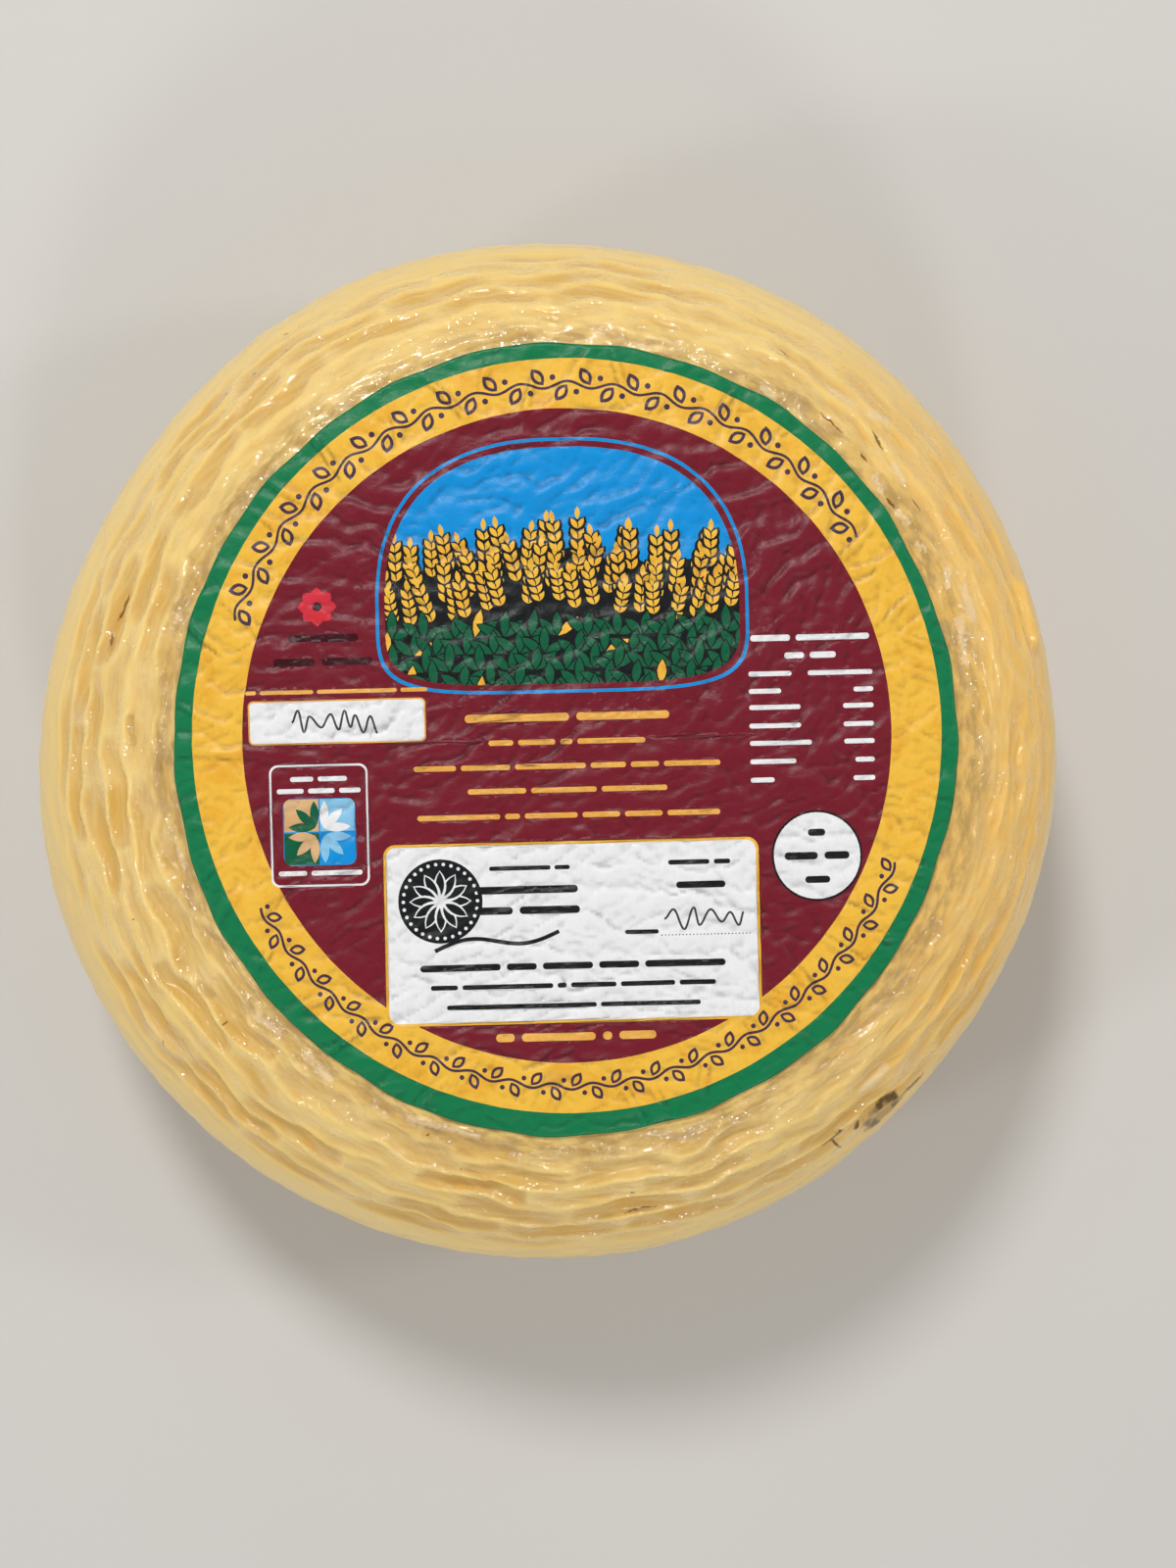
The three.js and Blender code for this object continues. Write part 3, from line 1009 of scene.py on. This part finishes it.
def paper_triangles(outline, shapes):
    """Corners and triangles of the flat paper, cut along every shape, and the triangles' middles."""
    points = [outline]
    edges = []
    total = 0
    for shape in [outline] + [shape for _, shape, _ in shapes]:
        if total:
            points.append(shape)
        edges += [(total + i, total + (i + 1) % len(shape)) for i in range(len(shape))]
        total += len(shape)
    points.append(paper_grid(outline))
    flat = [Vector(point) for point in np.concatenate(points)]
    corners, _, triangles, *_ = delaunay_2d_cdt(flat, edges, [], 0, MERGE_DISTANCE)
    corners = np.array([tuple(corner) for corner in corners])
    triangles = np.array([list(triangle) for triangle in triangles])
    triangles = triangles[np.argsort(corners[triangles].mean(axis=1)[:, 1])]
    middles = corners[triangles].mean(axis=1)
    keep = inside(middles, outline)
    return corners, triangles[keep], middles[keep]


def printed_inks(middles, shapes, names):
    """Which ink each triangle has: that of the last shape over it."""
    inks = np.full(len(middles), names.index("green"))
    seen_through = {}
    for ink, shape, window in shapes:
        hit = inside(middles, shape)
        if window is not None:
            if id(window) not in seen_through:
                seen_through[id(window)] = inside(middles, turned(window, PRINT_TURN))
            hit &= seen_through[id(window)]
        inks[hit] = names.index(ink)
    return inks


def build_label():
    outline = label_outline()
    shapes = [(ink, turned(shape, PRINT_TURN), window) for ink, shape, window in design_label().shapes]
    corners, triangles, middles = paper_triangles(outline, shapes)
    names = list(INKS)
    inks = printed_inks(middles, shapes, names)
    x, y = corners.T
    high = paper_height(x, y)
    # Painted shade for the paper's valleys: how far each point lies below the mean of the points round it
    steps = ((NEAR, 0), (-NEAR, 0), (0, NEAR), (0, -NEAR))
    around_each = sum(paper_height(x + dx, y + dy) for dx, dy in steps)
    valley_shade = np.clip((around_each / 4 - high) / VALLEY_DEPTH, 0, 1)
    places = corners + LABEL_CENTRE
    upper = np.column_stack((places, HEIGHT + PAPER_THICKNESS + high))
    under = np.column_stack((outline + LABEL_CENTRE, np.full(len(outline), HEIGHT)))
    around = len(outline)
    rim = rim_corners(corners, outline)
    first = len(upper)
    faces = triangles.tolist()
    faces += [(rim[i], first + i, first + (i + 1) % around, rim[(i + 1) % around]) for i in range(around)]
    faces.append([first + i for i in range(around)][::-1])
    piece = add_mesh("label", np.concatenate((upper, under)), faces)
    colours = np.array([(*INKS[name], 1) for name in names])
    per_corner = np.repeat(colours[inks], 3, axis=0)
    plain = np.tile(colours[names.index("white")], (5 * around, 1))
    add_attribute(piece, "ink", "FLOAT_COLOR", np.concatenate((per_corner, plain)), "CORNER")
    add_attribute(piece, "valley_shade", "FLOAT", np.concatenate((valley_shade, np.zeros(len(under)))))
    return piece


def rim_corners(corners, outline):
    """The mesh's corners that lie on the outline's points, in its order."""
    return [int(np.argmin(((corners - point) ** 2).sum(axis=1))) for point in outline]


# Materials

RIND_COLOURS = {
    "crest": (0.91, 0.635, 0.2, 1),
    "hollow": (0.74, 0.445, 0.1, 1),
    "cloud": (0.93, 0.685, 0.265, 1),
    "strand": (0.96, 0.745, 0.33, 1),
    "warm": (0.92, 0.5, 0.075, 1),
    "band": (0.5, 0.315, 0.105, 1),
    "rim": (0.9, 0.64, 0.205, 1),
    "film": (0.93, 0.72, 0.45, 1),
    "stain": (0.46, 0.25, 0.055, 1),
    "halo": (0.42, 0.25, 0.035, 1),
    "mould": (0.12, 0.05, 0, 1),
    "slit": (0.16, 0.055, 0.002, 1),
}
PAPER_STAIN = (0.92, 0.78, 0.5, 1)
FLOOR_COLOURS = ((0.62, 0.6, 0.57, 1), (0.66, 0.64, 0.61, 1))

# Where each look of the rind comes in: from and to of what drives it, then its share at both ends
RIND_RAMPS = {
    "hollow": (0.08, 0.6),
    "streak": (0.2, 0.9, 0.5, 0),
    "cloud": (0.45, 0.7, 0, 0.4),
    "warm": (0.045, 0.1, 0, 0.65),
    "rim": (0.3, 0.95, 0, 0.6),
    "band": (9.5, 3.5),
    "shred": (0.35, 0.65, 0.3, 1),
    "film": (0.2, 0.9),
    "stain": (0.25, 1.1, 0, 0.5),
    "halo": (0.15, 0.7, 0, 0.85),
    "mould": (0.36, 0.52, 0.45, 1),
    "wall_foot": (0.03, 0.15),
    "wall_top": (0.75, 0.4),
    "wall_worn": (0.2, 0.6, 1, 0),
    "clump": (0.45, 0.53),
    "sparkle": (0.05, 0.5),
    "coat": (0, 0.6, 0.3, 1),
    "grain": (0.1, 0.6, 0.12, 0.01),
    "crumple": (0, 0.6, 0.1, 1),
    "crumple_worn": (0.05, 0.5, 1, 0.05),
}

# How far a noise frays the edges of these looks
RAGGEDNESS = {"film": 2.4, "stain": 1.8, "halo": 1.6}

# How much of these looks there is where they are fullest
LOOK_SHARES = {"strand": 0.3, "film": 0.5, "mould": 0.92, "slit": 0.85}
HOLLOW_PULL = 1.5
BAND_SWING = 9
FLAT_GLINT = 0.1

# A mark is full out to this share of its half width, and how much a pointed one narrows to its ends
FULL_SHARE = 0.4
POINTEDNESS = 3

# Marks are frayed by a fine noise: its scale, and how far it reaches in metres
FRAY_SCALE = 900
FRAY_REACH = 0.0007

# Noise along the rows: stretch round and down, detail and roughness
ROW_NOISES = {
    "streak": ((90, 90, 600), 4, 0.6),
    "shred": ((170, 170, 650), 4, 0.6),
    "clump": ((110, 110, 300), 3, 0.6),
    "crumple": ((850, 850, 1150), 1, 0.5),
}

# Even noise over the side: scale, detail and roughness
SIDE_NOISES = {"cloud": (45, 3), "ragged": (800, 4, 0.65), "grain": (1100, 3, 0.6)}
GRAIN_DEPTH = 0.0003
CRUMPLE_DEPTH = 0.00055

# Noise over the paper, stretched, and its stains: scale, detail, roughness and distortion
FIBRE = ((1400, 700, 900), 4, 0.65)
CRINKLE = ((420, 600, 500), 4, 0.6, 0.6)
PAPER_STAINS = (120, 5, 0.65, 1.2)

# Where the paper's looks come in, and how strong and deep the bumps of its fibre and crinkle are
PAPER_RAMPS = {"stain": (0.44, 0.66, 0, 0.9), "dark": (0.35, 0.7, 0, 0.05), "rough": (0.3, 0.7, 0.38, 0.46)}
# How much black is painted into the paper's valleys as shade, at most
VALLEY_SHADE = 0.5
FIBRE_BUMP = (0.08, 0.0002)
CRINKLE_BUMP = (0.22, 0.0005)


class Nodes:
    """Short calls for building the nodes of one material or world."""

    def __init__(self, owner):
        self.owner = owner
        owner.use_nodes = True
        self.tree = owner.node_tree

    def fill(self, node, **inputs):
        for key, value in inputs.items():
            self.feed(node.inputs[key.replace("_", " ")], value)

    def surface(self, **inputs):
        self.fill(self.tree.nodes["Principled BSDF"], **inputs)

    def add(self, kind, settings=None, **inputs):
        node = self.tree.nodes.new(kind)
        for key, value in (settings or {}).items():
            setattr(node, key, value)
        self.fill(node, **inputs)
        return node

    def feed(self, socket, value):
        if isinstance(value, bpy.types.NodeSocket):
            self.tree.links.new(value, socket)
        else:
            socket.default_value = value

    def attributes(self, output, *names):
        return [self.add("ShaderNodeAttribute", {"attribute_name": name}).outputs[output] for name in names]

    def math(self, operation, first, second=0.0, clamp=False):
        node = self.add("ShaderNodeMath", {"operation": operation, "use_clamp": clamp})
        self.feed(node.inputs[0], first)
        self.feed(node.inputs[1], second)
        return node.outputs[0]

    def times(self, first, second):
        return self.math("MULTIPLY", first, second)

    def swing(self, noise, reach):
        """A noise swung round 0."""
        return self.times(self.math("SUBTRACT", noise, 0.5), reach)

    def ramp(self, value, low, high, to_low=0.0, to_high=1.0):
        ends = {"From_Min": low, "From_Max": high, "To_Min": to_low, "To_Max": to_high}
        node = self.add("ShaderNodeMapRange", {"interpolation_type": "SMOOTHSTEP"}, Value=value, **ends)
        return node.outputs["Result"]

    def vector(self, operation, *values, output=0):
        node = self.add("ShaderNodeVectorMath", {"operation": operation})
        for socket, value in zip(node.inputs, values):
            self.feed(socket, value)
        return node.outputs[output]

    def noise(self, vector, scale, detail=2.0, roughness=0.5, distortion=0.0, output="Fac"):
        settings = {"Scale": scale, "Detail": detail, "Roughness": roughness, "Distortion": distortion}
        return self.add("ShaderNodeTexNoise", Vector=vector, **settings).outputs[output]

    def stretched_noise(self, vector, scales, *settings):
        return self.noise(self.vector("MULTIPLY", vector, scales), 1, *settings)

    def mix(self, share, first, second, blend="MIX"):
        node = self.add("ShaderNodeMix", {"data_type": "RGBA", "blend_type": blend})
        sockets = {socket.identifier: socket for socket in node.inputs}
        for key, value in (("Factor_Float", share), ("A_Color", first), ("B_Color", second)):
            self.feed(sockets[key], value)
        return next(socket for socket in node.outputs if socket.identifier == "Result_Color")

    def near(self, place, mark, pointed):
        """From 1 on a mark's line to 0 at its half width and beyond, with its ends narrowed if pointed."""
        run = mark.end - mark.start
        length = max(float(run @ run), TINY)
        offset = self.vector("SUBTRACT", place, mark.start * MM)
        share = self.vector("DOT_PRODUCT", offset, run / length / MM, output="Value")
        share = self.math("ADD", share, 0.0, clamp=True)
        along = self.add("ShaderNodeVectorMath", {"operation": "SCALE"}, Vector=run * MM, Scale=share)
        distance = self.vector("DISTANCE", offset, along.outputs[0], output="Value")
        if pointed:
            from_middle = self.math("SUBTRACT", share, 0.5)
            narrowed = self.times(self.times(from_middle, from_middle), POINTEDNESS)
            distance = self.math("DIVIDE", distance, self.math("SUBTRACT", 1.0, narrowed))
        half_width = mark.half_width * MM
        return self.ramp(distance, FULL_SHARE * half_width, half_width, 1, 0)

    def nearest(self, place, marks, pointed=False):
        """The strongest of several marks."""
        found = self.near(place, marks[0], pointed)
        for mark in marks[1:]:
            found = self.math("MAXIMUM", found, self.near(place, mark, pointed))
        return found

    def bump(self, height, strength, distance, normal=None):
        node = self.add("ShaderNodeBump", Strength=strength, Distance=distance)
        self.feed(node.inputs["Height"], height)
        if normal is not None:
            self.feed(node.inputs["Normal"], normal)
        return node.outputs["Normal"]


def rind_material():
    nodes = Nodes(bpy.data.materials.new("rind"))
    side, rolled = nodes.attributes("Vector", "side", "rolled")
    names = ("hollow", "strand", "worn", "pale", "sparkle", "stain", "halo", "down")
    hollow, strand, worn, pale, sparkle, stain, halo, down = nodes.attributes("Fac", *names)
    streak, shred, clump, crumple = [nodes.stretched_noise(rolled, *how) for how in ROW_NOISES.values()]
    cloud, ragged, grain = [nodes.noise(side, *how) for how in SIDE_NOISES.values()]

    def ramp(value, name):
        return nodes.ramp(value, *RIND_RAMPS[name])

    def part(value, name):
        return nodes.times(value, LOOK_SHARES[name])

    def frayed(value, noise, name):
        return ramp(nodes.math("ADD", value, nodes.swing(noise, RAGGEDNESS[name])), name)

    jitter = nodes.noise(side, FRAY_SCALE, 3, output="Color")
    place = nodes.vector("MULTIPLY_ADD", jitter, [FRAY_REACH] * 3, side)
    place = nodes.vector("SUBTRACT", place, [FRAY_REACH / 2] * 3)
    slit = nodes.nearest(place, SLITS, pointed=True)
    mould = nodes.times(nodes.nearest(place, MOULD), ramp(ragged, "mould"))
    film = frayed(pale, ragged, "film")
    band = ramp(nodes.math("ADD", down, nodes.times(cloud, BAND_SWING)), "band")
    across = nodes.add("ShaderNodeSeparateXYZ", Vector=side).outputs["X"]
    depth = nodes.math("ADD", nodes.times(hollow, HOLLOW_PULL), nodes.swing(streak, ramp(worn, "streak")))
    colour = nodes.mix(ramp(depth, "hollow"), RIND_COLOURS["crest"], RIND_COLOURS["hollow"])
    for name, share in (
        ("cloud", ramp(cloud, "cloud")),
        ("warm", ramp(across, "warm")),
        ("rim", ramp(worn, "rim")),
        ("strand", part(strand, "strand")),
        ("band", nodes.times(band, ramp(shred, "shred"))),
        ("film", part(film, "film")),
        ("stain", frayed(stain, shred, "stain")),
        ("halo", frayed(halo, ragged, "halo")),
        ("mould", part(mould, "mould")),
        ("slit", part(slit, "slit")),
    ):
        colour = nodes.mix(share, colour, RIND_COLOURS[name])

    wall = nodes.times(ramp(hollow, "wall_foot"), ramp(hollow, "wall_top"))
    wall = nodes.times(wall, ramp(worn, "wall_worn"))
    glint = nodes.times(ramp(clump, "clump"), nodes.math("MAXIMUM", wall, FLAT_GLINT))
    glint = nodes.math("MAXIMUM", glint, nodes.math("MAXIMUM", film, ramp(sparkle, "sparkle")))
    soft = nodes.bump(grain, ramp(worn, "grain"), GRAIN_DEPTH)
    crumpled = nodes.times(ramp(glint, "crumple"), ramp(worn, "crumple_worn"))
    nodes.surface(
        Base_Color=colour,
        Normal=soft,
        Roughness=0.42,
        Specular_Tint=(1, 0.84, 0.62, 1),
        Subsurface_Weight=0.35,
        Subsurface_Radius=(1, 0.75, 0.5),
        Subsurface_Scale=0.0016,
        Coat_IOR=1.65,
        Coat_Roughness=0.08,
        Coat_Weight=ramp(nodes.math("SUBTRACT", glint, mould), "coat"),
        Coat_Normal=nodes.bump(crumple, crumpled, CRUMPLE_DEPTH, soft),
    )
    return nodes.owner


def label_material():
    nodes = Nodes(bpy.data.materials.new("printed_paper"))
    place = nodes.add("ShaderNodeTexCoord").outputs["Object"]
    ink, = nodes.attributes("Color", "ink")
    valley_shade, = nodes.attributes("Fac", "valley_shade")
    fibre = nodes.stretched_noise(place, *FIBRE)
    crinkle = nodes.stretched_noise(place, *CRINKLE)
    stain = nodes.ramp(nodes.noise(place, *PAPER_STAINS), *PAPER_RAMPS["stain"])
    parts = nodes.add("ShaderNodeSeparateColor", Color=ink).outputs
    warm_ink = nodes.math("SUBTRACT", parts["Red"], parts["Blue"], clamp=True)
    colour = nodes.mix(nodes.times(warm_ink, stain), ink, PAPER_STAIN, "MULTIPLY")
    # Darker where the fibre is dark, and painted shade in the paper's valleys
    for share in (nodes.ramp(fibre, *PAPER_RAMPS["dark"]), nodes.times(valley_shade, VALLEY_SHADE)):
        colour = nodes.mix(share, colour, (0, 0, 0, 1))
    nodes.surface(
        Base_Color=colour,
        Roughness=nodes.ramp(fibre, *PAPER_RAMPS["rough"]),
        Specular_IOR_Level=0.3,
        Normal=nodes.bump(fibre, *FIBRE_BUMP, nodes.bump(crinkle, *CRINKLE_BUMP)),
    )
    return nodes.owner


def floor_material():
    nodes = Nodes(bpy.data.materials.new("pale_floor"))
    cloud = nodes.noise(nodes.add("ShaderNodeTexCoord").outputs["Object"], 6, 2)
    nodes.surface(Base_Color=nodes.mix(cloud, *FLOOR_COLOURS), Roughness=0.8)
    return nodes.owner


# Camera, in pixels of the 1200 by 1600 picture and millimetres
PICTURE_HEIGHT = 1600
FOCAL_PIXELS = 2320
SENSOR = 36
CAMERA_PLACE = (9.0, -6.2, 506)


def add_camera():
    camera = bpy.data.cameras.new("camera")
    camera.sensor_width = SENSOR
    camera.lens = SENSOR * FOCAL_PIXELS / PICTURE_HEIGHT
    holder = add_object("camera", camera)
    holder.location = np.array(CAMERA_PLACE) * MM
    bpy.context.scene.camera = holder


# The sky fades between these heights on the unit sphere, from one strength to the other
SKY_FADE = (0.94, 0.72, 0.06, 0.53)

# Round soft lights: name, azimuth, tilt from straight above, share of the light and size in metres
LIGHTS = (
    ("key", 105, 36, 0.42, 0.24), ("left", 207, 54, 0.075, 0.16),
    ("right", 8, 54, 0.07, 0.16), ("low", 282, 50, 0.1, 0.18),
)
LIGHT_DISTANCE = 1.2
FLOOR_SIZE = 30


def add_light(name, azimuth, tilt, share, size):
    """A round soft light that gives a flat white label this share of its brightness."""
    azimuth, tilt = math.radians(azimuth), math.radians(tilt)
    away = Vector((*(math.sin(tilt) * toward(azimuth)), math.cos(tilt)))
    light = bpy.data.lights.new(name, "AREA")
    light.shape = "DISK"
    light.size = size
    light.energy = share * math.pi ** 2 * LIGHT_DISTANCE ** 2 / math.cos(tilt)
    holder = add_object(name, light)
    holder.location = away * LIGHT_DISTANCE + Vector((0, 0, HEIGHT * MM))
    holder.rotation_euler = away.to_track_quat("Z", "Y").to_euler()


def add_sky():
    """A plain white studio that is darker straight above, where the camera stands."""
    nodes = Nodes(bpy.data.worlds.new("studio"))
    bpy.context.scene.world = nodes.owner
    split = nodes.add("ShaderNodeSeparateXYZ", Vector=nodes.add("ShaderNodeTexCoord").outputs["Generated"])
    strength = nodes.ramp(split.outputs["Z"], *SKY_FADE)
    nodes.fill(nodes.tree.nodes["Background"], Color=(1, 1, 1, 1), Strength=strength)


def add_stage():
    bpy.ops.mesh.primitive_plane_add(size=FLOOR_SIZE)
    floor = bpy.context.object
    floor.name = "floor"
    floor.data.materials.append(floor_material())
    floor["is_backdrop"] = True
    add_sky()
    for light in LIGHTS:
        add_light(*light)
    bpy.context.scene.view_settings.view_transform = "Standard"


rind_piece = build_rind()
rind_piece.data.materials.append(rind_material())
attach(rind_piece, "root")
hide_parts("cheese_wheel")

label_piece = build_label()
label_piece.data.materials.append(label_material())
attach(label_piece, "root")
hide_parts("paper_label")

add_stage()
add_camera()

boxes = {"cad": cad_bounds, "visual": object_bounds()}
{name: [list(corner) for corner in box] for name, box in boxes.items()}
